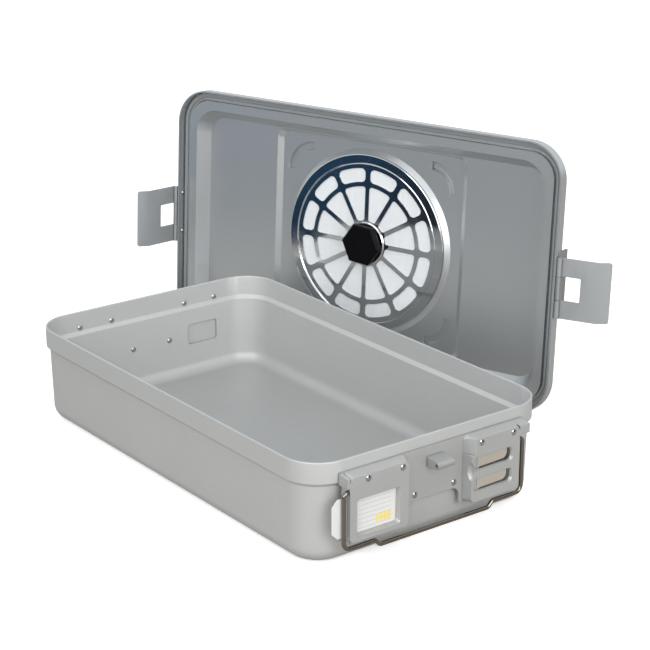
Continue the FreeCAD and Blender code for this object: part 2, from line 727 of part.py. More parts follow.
def make_bail(end, placement):
    """Wire bail: ends bent inwards into the plate, and a grip set lower than the bar's ends."""
    body = new_body(f"{end}_bail_handle", placement)
    left = "(-bail_shift - bail_half)"
    right = "(bail_half - bail_shift)"
    bar = "(bail_pivot - bail_drop)"
    grip = "(bail_pivot - bail_drop - bail_joggle)"
    run = "bail_bend * tan(22.5)"
    drop = "bail_bend * tan(22.5) * sin(45)"
    spine = new_sketch(body, "bail_spine", "end", BAIL_PLANE)
    outline(spine, [
        (f"{left} + bail_tail", "bail_pivot"),
        (f"{left} + bail_bend", "bail_pivot", "bail_bend", 1),
        (left, "bail_pivot - bail_bend"),
        (left, f"{bar} + bail_corner", "bail_corner", 1),
        (f"{left} + bail_corner", bar),
        (f"-bail_shift - bail_grip - bail_joggle - {run}", bar, "bail_bend", -1),
        (f"-bail_shift - bail_grip - bail_joggle + {drop}", f"{bar} - {drop}"),
        (f"-bail_shift - bail_grip - {drop}", f"{grip} + {drop}", "bail_bend", 1),
        (f"-bail_shift - bail_grip + {run}", grip),
        (f"-bail_shift + bail_grip - {run}", grip, "bail_bend", 1),
        (f"-bail_shift + bail_grip + {drop}", f"{grip} + {drop}"),
        (f"-bail_shift + bail_grip + bail_joggle - {drop}", f"{bar} - {drop}", "bail_bend", -1),
        (f"-bail_shift + bail_grip + bail_joggle + {run}", bar),
        (f"{right} - bail_corner", bar, "bail_corner", 1),
        (right, f"{bar} + bail_corner"),
        (right, "bail_pivot - bail_bend", "bail_bend", 1),
        (f"{right} - bail_bend", "bail_pivot"),
        (f"{right} - bail_tail", "bail_pivot"),
    ], closed=False)
    section = new_sketch(body, "bail_section", "front", f"-({left} + bail_tail)")
    circle(section, BAIL_PLANE, "bail_pivot", "wire_radius")
    wire = feature(body, "AdditivePipe", "bail_wire", section)
    wire.Spine = (spine, [])


LID_LENGTH = "lid_length / 2"
LID_WIDTH = "lid_width / 2"
SEAT_TOP = "(roof_depth + zone_rise - seat_height)"
RETAINER_BACK = "(roof_depth + zone_rise - seat_height - filter_thickness - filter_gap)"
RETAINER_DISC = f"({RETAINER_BACK} - retainer_sheet)"
RETAINER_FLANGE = f"({RETAINER_BACK} - retainer_sheet - retainer_step)"
BUTTON_BACK = f"({RETAINER_DISC} - button_lift)"


def lid_level(inset):
    """Lid outline set in from the skirt by a formula."""
    return centred(f"{LID_LENGTH} - ({inset})", f"{LID_WIDTH} - ({inset})", f"lid_corner - ({inset})")


def roof_level(inset, grow_length="0 * lid_sheet", grow_width="0 * lid_sheet"):
    """Roof outline, grown by formulas."""
    return centred(f"roof_half_length - ({inset}) + {grow_length}", f"roof_half_width - ({inset}) + {grow_width}",
                   "roof_corner")


def zone_level(grow):
    """Middle zone outline, grown by a formula."""
    return centred(f"zone_half_length + {grow}", f"zone_half_width + {grow} / 3", "zone_corner")


def make_lid(placement):
    """Drawn lid: skirt, gasket channel, ridge, sloped roof, raised zone, filter seat, ribs and vents."""
    body = new_body("lid_shell", placement)
    foot_length = f"({LID_LENGTH} - channel_width - ridge_width)"
    foot_width = f"({LID_WIDTH} - channel_width - ridge_width)"
    foot = centred(foot_length, foot_width, "(lid_corner - channel_width)")
    foot_inside = centred(f"{foot_length} - lid_sheet", f"{foot_width} - lid_sheet", "(lid_corner - channel_width)")
    block(body, "Pad", "lid_skirt", "top", "0 * lid_sheet", lid_level("0 * lid_sheet"), "channel_depth + lid_sheet")
    soften(body, "Fillet", "lid_skirt_edge", level_edge(number("channel_depth + lid_sheet")), Radius="lid_rounding")
    block(body, "Pocket", "lid_valley", "top", "ridge_depth + lid_sheet",
          lid_level("channel_width + lid_sheet"), "channel_depth", reverse=True)
    loft(body, "AdditiveLoft", "lid_roof", "top", [
        ("ridge_depth", foot),
        ("roof_depth + lid_sheet", roof_level("-lid_sheet")),
    ])
    loft(body, "AdditiveLoft", "lid_zone", "top", [
        ("roof_depth + lid_sheet", zone_level("zone_slope + lid_sheet")),
        ("roof_depth + lid_sheet + zone_rise", zone_level("lid_sheet")),
    ])
    block(body, "Pocket", "lid_channel", "top", "0 * lid_sheet", lid_level("lid_sheet"), "ridge_depth", reverse=True)
    sketch = new_sketch(body, "lid_channel_sketch", "top", "0 * lid_sheet")
    outline(sketch, lid_level("lid_sheet"))
    outline(sketch, lid_level("channel_width"))
    feature(body, "Pocket", "lid_gasket_channel", sketch, Length="channel_depth", Reversed=True)
    add_ribs(body, "Revolution", "rib_outside", "lid_sheet")
    loft(body, "SubtractiveLoft", "lid_roof_inside", "top", [
        ("ridge_depth", foot_inside),
        ("roof_depth", roof_level("0 * lid_sheet")),
    ])
    loft(body, "SubtractiveLoft", "lid_zone_inside", "top", [
        ("roof_depth", zone_level("zone_slope")),
        ("roof_depth + zone_rise", zone_level("0 * lid_sheet")),
    ])
    floor = "(roof_depth + zone_rise)"
    revolve(body, "Revolution", "filter_seat", [
        ("seat_inner", f"{floor} + lid_sheet"),
        ("seat_outer", f"{floor} + lid_sheet"),
        ("seat_outer", floor),
        ("seat_face_outer", SEAT_TOP),
        ("seat_face_inner", SEAT_TOP),
        ("seat_inner", floor),
    ])
    revolve(body, "Groove", "filter_seat_outside", [
        ("seat_inner + lid_sheet", f"{floor} + lid_sheet + rib_depth"),
        ("seat_inner + lid_sheet", f"{floor} + lid_sheet"),
        ("seat_face_inner + lid_sheet", f"{SEAT_TOP} + lid_sheet"),
        ("seat_face_outer - lid_sheet", f"{SEAT_TOP} + lid_sheet"),
        ("seat_outer - lid_sheet", f"{floor} + lid_sheet"),
        ("seat_outer - lid_sheet", f"{floor} + lid_sheet + rib_depth"),
    ])
    add_ribs(body, "Groove", "rib_inside", "0 * lid_sheet")
    add_vents(body)
    add_bracket_holes(body)


def add_ribs(body, kind, name, sheet_size):
    """Quarter-round stacking rib in each corner of the zone."""
    low = "(roof_depth + zone_rise - lid_sheet)" if kind == "Groove" else "(roof_depth + zone_rise)"
    top = f"(roof_depth + zone_rise + rib_depth + {sheet_size})"
    for index, (x_sign, y_sign, turn) in enumerate(((1, 1, 0), (-1, 1, 90), (-1, -1, 180), (1, -1, 270))):
        sketch = new_sketch(body, f"{name}_sketch_{index}", "front")
        outline(sketch, [
            (f"rib_radius - rib_half_width - {sheet_size}", low),
            (f"rib_radius + rib_half_width + {sheet_size}", low),
            (f"rib_radius + rib_half_width / 2 + {sheet_size}", top),
            (f"rib_radius - rib_half_width / 2 - {sheet_size}", top),
        ])
        sketch.setExpression("AttachmentOffset.Base.x", cell(f"{x_sign} * rib_centre_length"))
        sketch.setExpression("AttachmentOffset.Base.z", cell(f"{-y_sign} * rib_centre_width"))
        middle = turn + QUARTER_TURN / 2
        sketch.AttachmentOffset = Placement(sketch.AttachmentOffset.Base, Rotation(Y_AXIS, middle))
        made = feature(body, kind, f"{name}_{index}", sketch, ReferenceAxis=(sketch, ["V_Axis"]), Midplane=True)
        made.Angle = QUARTER_TURN


def add_vents(body):
    """Rings of steam holes under the filter."""
    for ring, count in enumerate(VENT_RINGS):
        sketch = new_sketch(body, f"vent_sketch_{ring}", "top", "roof_depth")
        circle(sketch, f"vent_ring_first + {ring} * vent_ring_step", "0 * vent_radius", "vent_radius")
        hole = feature(body, "Pocket", f"vent_{ring}", sketch, Length="roof_depth", Reversed=True)
        pattern = body.newObject("PartDesign::PolarPattern", f"vent_ring_{ring}")
        pattern.Originals = [hole]
        pattern.Axis = (sketch, ["N_Axis"])
        pattern.Angle = 2 * HALF_TURN
        pattern.Occurrences = count
        body.Tip = pattern
    sketch = new_sketch(body, "stud_hole_sketch", "top", "roof_depth")
    circle(sketch, "0 * stud_tail", "0 * stud_tail", "stud_tail")
    feature(body, "Pocket", "stud_hole", sketch, Length="roof_depth", Reversed=True)


def add_bracket_holes(body):
    """Rivet holes of the latch brackets, through each end of the skirt."""
    for name, offset, reverse in (("right", f"{LID_LENGTH} + lid_sheet", False),
                                  ("left", f"-({LID_LENGTH}) - lid_sheet", True)):
        sketch = new_sketch(body, f"bracket_hole_sketch_{name}", "end", offset)
        for sign in ("-", ""):
            circle(sketch, f"{sign}bracket_rivet_span", "bracket_rivet_level", "bracket_rivet_shank")
        feature(body, "Pocket", f"bracket_holes_{name}", sketch, Length="lid_sheet * 2.5", Reversed=reverse)


def make_gasket(placement):
    """Silicone strip in the lid's channel."""
    body = new_body("lid_gasket", placement)
    sketch = new_sketch(body, "gasket_sketch", "top", "channel_depth - gasket_height")
    outline(sketch, lid_level("lid_sheet + gasket_gap"))
    outline(sketch, lid_level("channel_width - gasket_gap"))
    feature(body, "Pad", "gasket", sketch, Length="gasket_height")
    groove = new_sketch(body, "gasket_groove_sketch", "top", "channel_depth - gasket_height")
    outline(groove, lid_level("channel_width - gasket_gap - gasket_lip - gasket_groove"))
    outline(groove, lid_level("channel_width - gasket_gap - gasket_lip"))
    feature(body, "Pocket", "gasket_groove_cut", groove, Length="gasket_groove", Reversed=True)


def make_stud(placement):
    """Centre stud riveted through the lid, which the release button grips."""
    body = new_body("filter_stud", placement)
    floor = "(roof_depth + zone_rise)"
    revolve(body, "Revolution", "stud", [
        ("0 * stud_tail", "stud_tip"),
        ("stud_radius - button_edge / 2", "stud_tip"),
        ("stud_radius", "stud_tip + button_edge / 2"),
        ("stud_radius", f"{floor} - stud_flange_height"),
        ("stud_flange", f"{floor} - stud_flange_height"),
        ("stud_flange", floor),
        ("stud_tail", floor),
        ("stud_tail", f"{floor} + lid_sheet"),
        ("stud_tail * 2", f"{floor} + lid_sheet"),
        ("stud_tail * 1.6", f"{floor} + lid_sheet + stud_flange_height"),
        ("0 * stud_tail", f"{floor} + lid_sheet + stud_flange_height"),
    ])


def sector_window(inner, outer, gap, radius):
    """Corners of one opening of a 30 degree sector, with sides parallel to its spokes."""
    half = "(180 / sector_count)"
    outer_half = f"({half} - asin(({gap} / 2 + {radius}) / ({outer} - {radius})) / 1deg)"
    inner_half = f"({half} - asin(({gap} / 2 + {radius}) / ({inner} + {radius})) / 1deg)"
    outer_run = f"(({outer} - {radius}) * cos({half} - {outer_half}))"
    inner_run = f"(({inner} + {radius}) * cos({half} - {inner_half}))"

    def on_side(run, sign):
        far = f"({half} * 2)" if sign > 0 else "(0 * sector_count)"
        shift = "-" if sign > 0 else "+"
        return (f"{run} * cos({far}) {'+' if sign > 0 else '-'} {gap} / 2 * sin({far})",
                f"{run} * sin({far}) {shift} {gap} / 2 * cos({far})")

    return [
        polar(outer, f"{half} - {outer_half}") + (outer, 1),
        polar(outer, f"{half} + {outer_half}") + (radius, 1),
        on_side(outer_run, 1),
        on_side(inner_run, 1) + (radius, 1),
        polar(inner, f"{half} + {inner_half}") + (inner, -1),
        polar(inner, f"{half} - {inner_half}") + (radius, 1),
        on_side(inner_run, -1),
        on_side(outer_run, -1) + (radius, 1),
    ]


def make_retainer(placement):
    """Filter retention plate: stepped flange, groove, twelve windows and twelve slots."""
    body = new_body("retention_plate", placement)
    bore = "(button_hub + slide_gap)"
    revolve(body, "Revolution", "retainer_disc", [
        (bore, RETAINER_DISC),
        ("groove_radius - retainer_step", RETAINER_DISC),
        ("groove_radius", f"{RETAINER_DISC} + retainer_step / 2"),
        ("groove_radius + retainer_step", RETAINER_FLANGE),
        ("retainer_radius - retainer_step", RETAINER_FLANGE),
        ("retainer_radius", f"{RETAINER_FLANGE} + retainer_step / 2"),
        ("retainer_radius", f"{RETAINER_FLANGE} + retainer_sheet"),
        ("groove_radius + retainer_step * 2", f"{RETAINER_FLANGE} + retainer_sheet"),
        ("groove_radius + retainer_step", RETAINER_BACK),
        (bore, RETAINER_BACK),
    ])
    openings = []
    for name, inner, outer, gap, radius in (
            ("window", "window_inner", "window_outer", "spoke_width", "window_rounding"),
            ("slot", "slot_inner", "slot_outer", "slot_gap", "slot_rounding")):
        sketch = new_sketch(body, f"{name}_sketch", "top", RETAINER_DISC)
        outline(sketch, sector_window(inner, outer, gap, radius))
        openings.append(feature(body, "Pocket", name, sketch, Length="retainer_sheet", Reversed=True))
    pattern = body.newObject("PartDesign::PolarPattern", "sectors")
    pattern.Originals = openings
    pattern.Axis = (openings[0].Profile[0], ["N_Axis"])
    pattern.Angle = 2 * HALF_TURN
    pattern.setExpression("Occurrences", cell("sector_count"))
    body.Tip = pattern


def make_retainer_small_parts(placement):
    """Collar, seal and filter, each a ring about the plate's axis."""
    collar = new_body("plate_collar", placement)
    revolve(collar, "Revolution", "collar", [
        ("collar_inner", RETAINER_DISC),
        ("collar_inner", f"{RETAINER_DISC} - collar_height"),
        ("collar_outer - collar_height", f"{RETAINER_DISC} - collar_height"),
        ("collar_outer", RETAINER_DISC),
    ])
    seal = new_body("plate_seal", placement)
    revolve(seal, "Revolution", "seal", [
        ("seal_inner", f"{RETAINER_FLANGE} + retainer_sheet"),
        ("seal_outer", f"{RETAINER_FLANGE} + retainer_sheet"),
        ("seal_outer", f"{SEAT_TOP} - filter_thickness"),
        ("seal_inner", f"{SEAT_TOP} - filter_thickness"),
    ])
    paper = new_body("filter_disc", placement)
    revolve(paper, "Revolution", "filter", [
        ("filter_hole", f"{SEAT_TOP} - filter_thickness"),
        ("filter_radius", f"{SEAT_TOP} - filter_thickness"),
        ("filter_radius", SEAT_TOP),
        ("filter_hole", SEAT_TOP),
    ])


def make_button(placement):
    """Six-sided release button with a hub that slides in the plate and over the stud."""
    body = new_body("hex_button", placement)
    sketch = new_sketch(body, "button_sketch", "top", BUTTON_BACK)
    outline(sketch, [polar("button_radius", f"button_turn + 60 * {index}") for index in range(6)])
    feature(body, "Pad", "button_head", sketch, Length="button_height", Reversed=True)
    front = number(f"{BUTTON_BACK} - button_height")
    soften(body, "Chamfer", "button_bevel", level_edge(front), Size="button_edge")
    hub = new_sketch(body, "hub_sketch", "top", BUTTON_BACK)
    circle(hub, "0 * button_hub", "0 * button_hub", "button_hub")
    feature(body, "Pad", "button_hub_pad", hub, Length="button_hub_reach")
    bore = new_sketch(body, "bore_sketch", "top", f"{BUTTON_BACK} + button_hub_reach")
    circle(bore, "0 * button_hub", "0 * button_hub", "stud_radius + slide_gap")
    feature(body, "Pocket", "button_bore", bore,
            Length=f"{BUTTON_BACK} + button_hub_reach - stud_tip + button_lift")


HINGE_X = "(lid_length / 2 + hinge_offset)"


def make_latch_bracket(side, placement, shift):
    """Bracket riveted to the skirt, with the middle knuckle of the hinge."""
    body = new_body(f"{side}_latch_bracket", placement)
    outer = f"({LID_LENGTH} + bracket_sheet)"
    block(body, "Pad", "bracket_plate", "end", LID_LENGTH,
          rounded("(-bracket_half)", "bracket_half", "(hinge_depth + knuckle_radius)", "bracket_reach", "latch_pin"),
          "bracket_sheet")
    start = f"-knuckle_half - {shift}"
    web = new_sketch(body, "web_sketch", "front", start)
    outline(web, rectangle(LID_LENGTH, outer, "hinge_depth - 0 * latch_pin", "bracket_reach / 2"))
    feature(body, "Pad", "bracket_web", web, Length="knuckle_half * 2", Reversed=False)
    knuckle = new_sketch(body, "knuckle_sketch", "front", start)
    circle(knuckle, HINGE_X, "hinge_depth", "knuckle_radius")
    feature(body, "Pad", "bracket_knuckle", knuckle, Length="knuckle_half * 2", Reversed=False)
    bore = new_sketch(body, "bore_sketch", "front", f"knuckle_half + pin_gap - {shift}")
    circle(bore, HINGE_X, "hinge_depth", "latch_pin")
    feature(body, "Pocket", "bracket_bore", bore, Length="knuckle_half * 3", Reversed=False)
    holes = new_sketch(body, "bracket_rivet_sketch", "end", f"{outer} + bracket_sheet")
    for sign in ("-", ""):
        circle(holes, f"{sign}bracket_rivet_span", "bracket_rivet_level", "bracket_rivet_shank")
    feature(body, "Pocket", "bracket_rivet_holes", holes, Length="bracket_sheet * 4")


def make_bracket_rivets(side, placement):
    """Two rivets that hold the bracket on the skirt."""
    body = new_body(f"{side}_bracket_rivets", placement)
    face = f"({LID_LENGTH} + bracket_sheet)"
    inside = f"({LID_LENGTH} - lid_sheet)"
    level = "bracket_rivet_level"
    for index, sign in enumerate(("-", "")):
        sketch = new_sketch(body, f"rivet_sketch_{index}", "front", f"-({sign}bracket_rivet_span)")
        outline(sketch, [
            (f"{inside} - bracket_rivet_crown", level),
            (f"{face} + bracket_rivet_crown", level),
            (f"{face} + bracket_rivet_crown / 2", f"{level} + bracket_rivet_head * 0.7"),
            (face, f"{level} + bracket_rivet_head"),
            (face, f"{level} + bracket_rivet_shank"),
            (inside, f"{level} + bracket_rivet_shank"),
            (inside, f"{level} + bracket_rivet_head"),
            (f"{inside} - bracket_rivet_crown", f"{level} + bracket_rivet_shank"),
        ])
        feature(body, "Revolution", f"bracket_rivet_{index}", sketch, ReferenceAxis=(sketch, ["Edge1"]))


def make_latch_pin(side, placement, shift):
    """Hinge pin of a latch."""
    body = new_body(f"{side}_latch_pin", placement)
    sketch = new_sketch(body, "pin_sketch", "front", f"flap_half - {shift}")
    circle(sketch, HINGE_X, "hinge_depth", "latch_pin")
    feature(body, "Pad", "pin", sketch, Length="flap_half * 2", Reversed=True)


def make_latch_flap(side, placement):
    """Latch flap drawn hanging from its hinge at the origin: two knuckles, window and flared lip."""
    body = new_body(f"{side}_latch_flap", placement)
    inner = "(knuckle_radius - flap_sheet)"
    knuckle = new_sketch(body, "flap_knuckle_sketch", "front", "-flap_half")
    circle(knuckle, "0 * knuckle_radius", "0 * knuckle_radius", "knuckle_radius")
    feature(body, "Pad", "flap_knuckle", knuckle, Length="flap_half * 2")
    sheet_part = new_sketch(body, "flap_sheet_sketch", "front", "-flap_half")
    outline(sheet_part, [
        (inner, "-flap_length"),
        (f"{inner} + lip_length * sin(lip_flare)", "-flap_length - lip_length * cos(lip_flare)"),
        (f"{inner} + lip_length * sin(lip_flare) + flap_sheet * cos(lip_flare)",
         "-flap_length - lip_length * cos(lip_flare) + flap_sheet * sin(lip_flare)"),
        ("knuckle_radius", "-flap_length + flap_sheet * tan(lip_flare / 2)"),
        ("knuckle_radius", "0 * knuckle_radius"),
        (inner, "0 * knuckle_radius"),
    ])
    feature(body, "Pad", "flap_sheet_pad", sheet_part, Length="flap_half * 2")
    block(body, "Pocket", "flap_window", "end", "flap_half",
          rounded("(-flap_window_half)", "flap_window_half", "(-flap_window_end)", "(knuckle_radius * 2)",
                  "flap_window_corner"),
          "flap_half * 2")
    bore = new_sketch(body, "flap_bore_sketch", "front", "flap_half + flap_sheet")
    circle(bore, "0 * knuckle_radius", "0 * knuckle_radius", "latch_pin + pin_gap")
    feature(body, "Pocket", "flap_bore", bore, Length="flap_half * 3")
    low = number("-flap_length - lip_length * cos(lip_flare)")
    soften(body, "Fillet", "lip_corners",
           lambda edge: edge.BoundBox.ZMax < low + 1 and edge.BoundBox.YLength < 0.01 and edge.Length > 1,
           Radius="lip_corner")


def lid_placement():
    """Lid stood on its long edge, inside to the viewer, leaning back a little."""
    lean = number("lid_lean")
    turn = Rotation(Z_AXIS, number("lid_yaw")) * Rotation(X_AXIS, -(QUARTER_TURN + lean))
    edge_radius = number("lid_rounding")
    lowest = turn.multVec(Vector(0, number(f"{LID_WIDTH} - lid_rounding"),
                                 number("channel_depth + lid_sheet - lid_rounding"))).z - edge_radius
    return Placement(Vector(number("lid_place_x"), number("lid_place_y"), -lowest), turn)


def check_and_write():
    """Stop if any object failed, then write each node."""
    doc.recompute()
    failed = [item.Name for item in doc.Objects if "Invalid" in item.State or "Error" in item.State]
    if failed:
        raise RuntimeError(f"objects failed: {failed}")
    os.makedirs("parts", exist_ok=True)
    for node in nodes:
        shape = node.Shape
        if shape.isNull() or not shape.isValid() or not shape.Solids:
            raise RuntimeError(f"{node.Label} has no valid solid")
        shape.exportStep(os.path.join("parts", f"{node.Label}.step"))
        print(f"{node.Label}: {len(shape.Solids)} solid(s), {shape.Volume:.1f} mm3")


def main():
    """Build every sub-part where it belongs."""
    near = Placement()
    far = Placement(Vector(0, 0, 0), Rotation(Z_AXIS, HALF_TURN))
    make_tub()
    for end, placement in (("near", near), ("far", far)):
        make_end_plate(end, placement)
        make_catch_lug(end, placement)
        make_plate_rivets(end, placement)
        make_tag_springs(end, placement)
        make_label_card(end, placement)
        make_bail(end, placement)
    lid = lid_placement()
    make_lid(lid)
    make_gasket(lid)
    make_stud(lid)
    make_retainer(lid)
    make_retainer_small_parts(lid)
    make_button(lid)
    for side, turn, shift in (("right", 0.0, "flap_shift"), ("left", HALF_TURN, "(-flap_shift)")):
        end_frame = lid * Placement(Vector(0, 0, 0), Rotation(Z_AXIS, turn))
        make_latch_bracket(side, end_frame, shift)
        make_bracket_rivets(side, end_frame)
        make_latch_pin(side, end_frame, shift)
        hinge = Placement(Vector(number(HINGE_X), number(shift), number("hinge_depth")),
                          Rotation(Y_AXIS, -number(f"{side}_flap_open")))
        make_latch_flap(side, end_frame * hinge)
    check_and_write()


main()
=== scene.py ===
"""Sterilization container with its lid stood up behind the tub, finished for a studio view.

Metres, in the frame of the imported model: the tub's base is centred on the origin, +X runs to the
near labelled end, +Y to the side where the lid stands, and +Z is up.
"""
import json
import logging
import math
from dataclasses import dataclass, replace
from enum import Enum

import bpy
from mathutils import Matrix, Vector

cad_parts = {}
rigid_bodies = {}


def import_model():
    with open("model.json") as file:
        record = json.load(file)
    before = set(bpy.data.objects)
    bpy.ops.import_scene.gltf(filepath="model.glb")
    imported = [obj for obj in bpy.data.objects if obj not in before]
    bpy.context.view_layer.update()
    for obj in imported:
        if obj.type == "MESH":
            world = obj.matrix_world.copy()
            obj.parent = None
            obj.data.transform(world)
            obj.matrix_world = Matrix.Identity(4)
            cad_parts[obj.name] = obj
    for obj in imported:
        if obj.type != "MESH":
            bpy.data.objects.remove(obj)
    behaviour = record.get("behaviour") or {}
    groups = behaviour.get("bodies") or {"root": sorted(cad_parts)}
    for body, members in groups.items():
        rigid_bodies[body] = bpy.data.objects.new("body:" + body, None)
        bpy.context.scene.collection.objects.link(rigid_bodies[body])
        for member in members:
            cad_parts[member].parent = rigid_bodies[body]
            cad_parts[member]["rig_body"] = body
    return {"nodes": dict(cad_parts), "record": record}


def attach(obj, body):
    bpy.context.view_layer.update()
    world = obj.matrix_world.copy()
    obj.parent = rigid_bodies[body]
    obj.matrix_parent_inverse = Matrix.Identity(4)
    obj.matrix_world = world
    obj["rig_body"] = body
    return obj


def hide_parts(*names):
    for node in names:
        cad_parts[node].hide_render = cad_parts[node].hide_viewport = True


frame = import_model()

LOG = logging.getLogger("container")
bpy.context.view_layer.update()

Colour = tuple[float, float, float]
Place = tuple[float, float, float]
Range = tuple[float, float]
Socket = bpy.types.NodeSocket
Value = Socket | float | Colour
BLACK: Colour = (0.0, 0.0, 0.0)
WHITE: Colour = (1.0, 1.0, 1.0)
UNSTRETCHED: Place = (1.0, 1.0, 1.0)

# Sockets of a colour Mix node: factor, first colour and second colour, and the result.
MIX_INPUTS = (0, 6, 7)
MIX_RESULT = 2
# Most of a noise's values lie in this range.
NOISE_RANGE: Range = (0.3, 0.7)
# Rays that look for an edge to soften.
EDGE_SAMPLES = 4
# Distance within which a face counts as lying in a plane.
TOUCH = 0.0001


class End(Enum):
    """The tub's two labelled ends; the far one is the near one turned half round."""

    NEAR = 1.0
    FAR = -1.0


class Grain(Enum):
    """Direction that a sheet was rolled or brushed in."""

    ACROSS = (1.0, 0.06, 1.0)
    UPRIGHT = (1.0, 1.0, 0.06)
    EVEN = (1.0, 1.0, 1.0)


@dataclass(frozen=True)
class Pattern:
    """Noise that a finish reads.

    Attributes:
        scale: Features per metre.
        octaves: How many ever finer layers it has.
    """

    scale: float
    octaves: float = 3.0


@dataclass(frozen=True)
class SeamShade:
    """Painted shade on a surface where a seam, step or corner shuts the light out.

    Attributes:
        reach: How far from the seam the shade is painted, in metres.
        share: How much light is lost in the deepest seam.
        openness: How open the deepest seam is, and the surface from where nothing is lost.
        colour: Colour that the light is lost to.
        samples: Rays that look for the seam.
    """

    reach: float = 0.003
    share: float = 0.85
    openness: Range = (0.2, 0.75)
    colour: Colour = (0.02, 0.02, 0.022)
    samples: int = 6


class Shading:
    """Short way to write the nodes of a material or of the world."""

    def __init__(self, owner: bpy.types.Material | bpy.types.World) -> None:
        """Start with no nodes.

        Args:
            owner: The material or world.
        """
        self.owner = owner
        owner.use_nodes = True
        self.tree = owner.node_tree
        self.tree.nodes.clear()

    def feed(self, socket: Socket, value: Value) -> None:
        """Link a source to a socket or write a value into it.

        Args:
            socket: The socket.
            value: Another node's socket, a number, a vector, or a colour without its alpha.
        """
        if isinstance(value, Socket):
            self.tree.links.new(value, socket)
        elif socket.type == "RGBA":
            socket.default_value = (*value, 1.0)
        else:
            socket.default_value = value

    def node(self, kind: str, **inputs: Value) -> bpy.types.Node:
        """Add a node and fill its sockets.

        Args:
            kind: Node type without its ShaderNode prefix.
            inputs: Values or sources, by socket name with underscores for spaces.

        Returns:
            The new node.
        """
        made = self.tree.nodes.new(f"ShaderNode{kind}")
        for name, value in inputs.items():
            self.feed(made.inputs[name.replace("_", " ")], value)
        return made

    def math(self, operation: str, *terms: Value) -> Socket:
        """Result of one Math node.

        Args:
            operation: The node's operation.
            terms: Numbers or sockets.

        Returns:
            The value socket.
        """
        made = self.node("Math")
        made.operation = operation
        for socket, term in zip(made.inputs, terms):
            self.feed(socket, term)
        return made.outputs[0]

    def axis(self, source: Socket, name: str) -> Socket:
        """One axis of a vector, by its letter."""
        return self.node("SeparateXYZ", Vector=source).outputs[name]

    def place(self) -> Socket:
        """Place on the object, in its own coordinates."""
        return self.node("TexCoord").outputs["Object"]

    def noise(self, pattern: Pattern, stretch: Place = UNSTRETCHED) -> Socket:
        """Noise over the object's own place.

        Args:
            pattern: Its scale and octaves.
            stretch: Scale along each axis.

        Returns:
            The noise's value socket.
        """
        mapped = self.node("Mapping", Vector=self.place(), Scale=stretch).outputs[0]
        made = self.node("TexNoise", Vector=mapped, Scale=pattern.scale, Detail=pattern.octaves)
        return made.outputs[0]

    def blend(self, factor: Value, first: Value, second: Value) -> Socket:
        """Colour between two colours.

        Args:
            factor: Share of the second colour.
            first: Colour or socket.
            second: Colour or socket.

        Returns:
            The colour socket.
        """
        mix = self.node("Mix")
        mix.data_type = "RGBA"
        for index, value in zip(MIX_INPUTS, (factor, first, second)):
            self.feed(mix.inputs[index], value)
        return mix.outputs[MIX_RESULT]

    def ramp(self, value: Socket, source: Range, low: float = 0.0, high: float = 1.0) -> Socket:
        """Value carried from one range to another and held at its ends.

        Args:
            value: The value.
            source: The range that it is read over.
            low: Result at the range's first end.
            high: Result at its second end.

        Returns:
            The value socket.
        """
        first, last = source
        made = self.node("MapRange", Value=value, From_Min=first, From_Max=last, To_Min=low, To_Max=high)
        return made.outputs[0]

    def spread(self, noise: Socket, low: float = 0.0, high: float = 1.0) -> Socket:
        """Noise spread over a range."""
        return self.ramp(noise, NOISE_RANGE, low, high)

    def relief(self, height: Socket, depth: float, edge: float) -> Socket:
        """Surface normal with a fine relief and softened edges.

        Args:
            height: Relief height.
            depth: Depth of the relief in metres.
            edge: Radius that hard edges seem to have, in metres.

        Returns:
            The normal socket.
        """
        rounded = self.node("Bevel", Radius=edge)
        rounded.samples = EDGE_SAMPLES
        normal = rounded.outputs[0]
        return self.node("Bump", Strength=1.0, Distance=depth, Height=height, Normal=normal).outputs[0]

    def painted_seam_shade(self, colour: Socket, seam: SeamShade) -> Socket:
        """Colour with painted shade in and beside the seams.

        Args:
            colour: The colour in the open.
            seam: How the shade is painted.

        Returns:
            The colour socket.
        """
        around = self.node("AmbientOcclusion", Distance=seam.reach)
        around.samples = seam.samples
        lost = self.ramp(around.outputs["AO"], seam.openness, seam.share, 0.0)
        return self.blend(lost, colour, seam.colour)

    def close(self, shader: bpy.types.Node, output: str = "OutputMaterial") -> None:
        """Link the last shader to the output, of the material or of the world."""
        self.feed(self.node(output).inputs[0], shader.outputs[0])


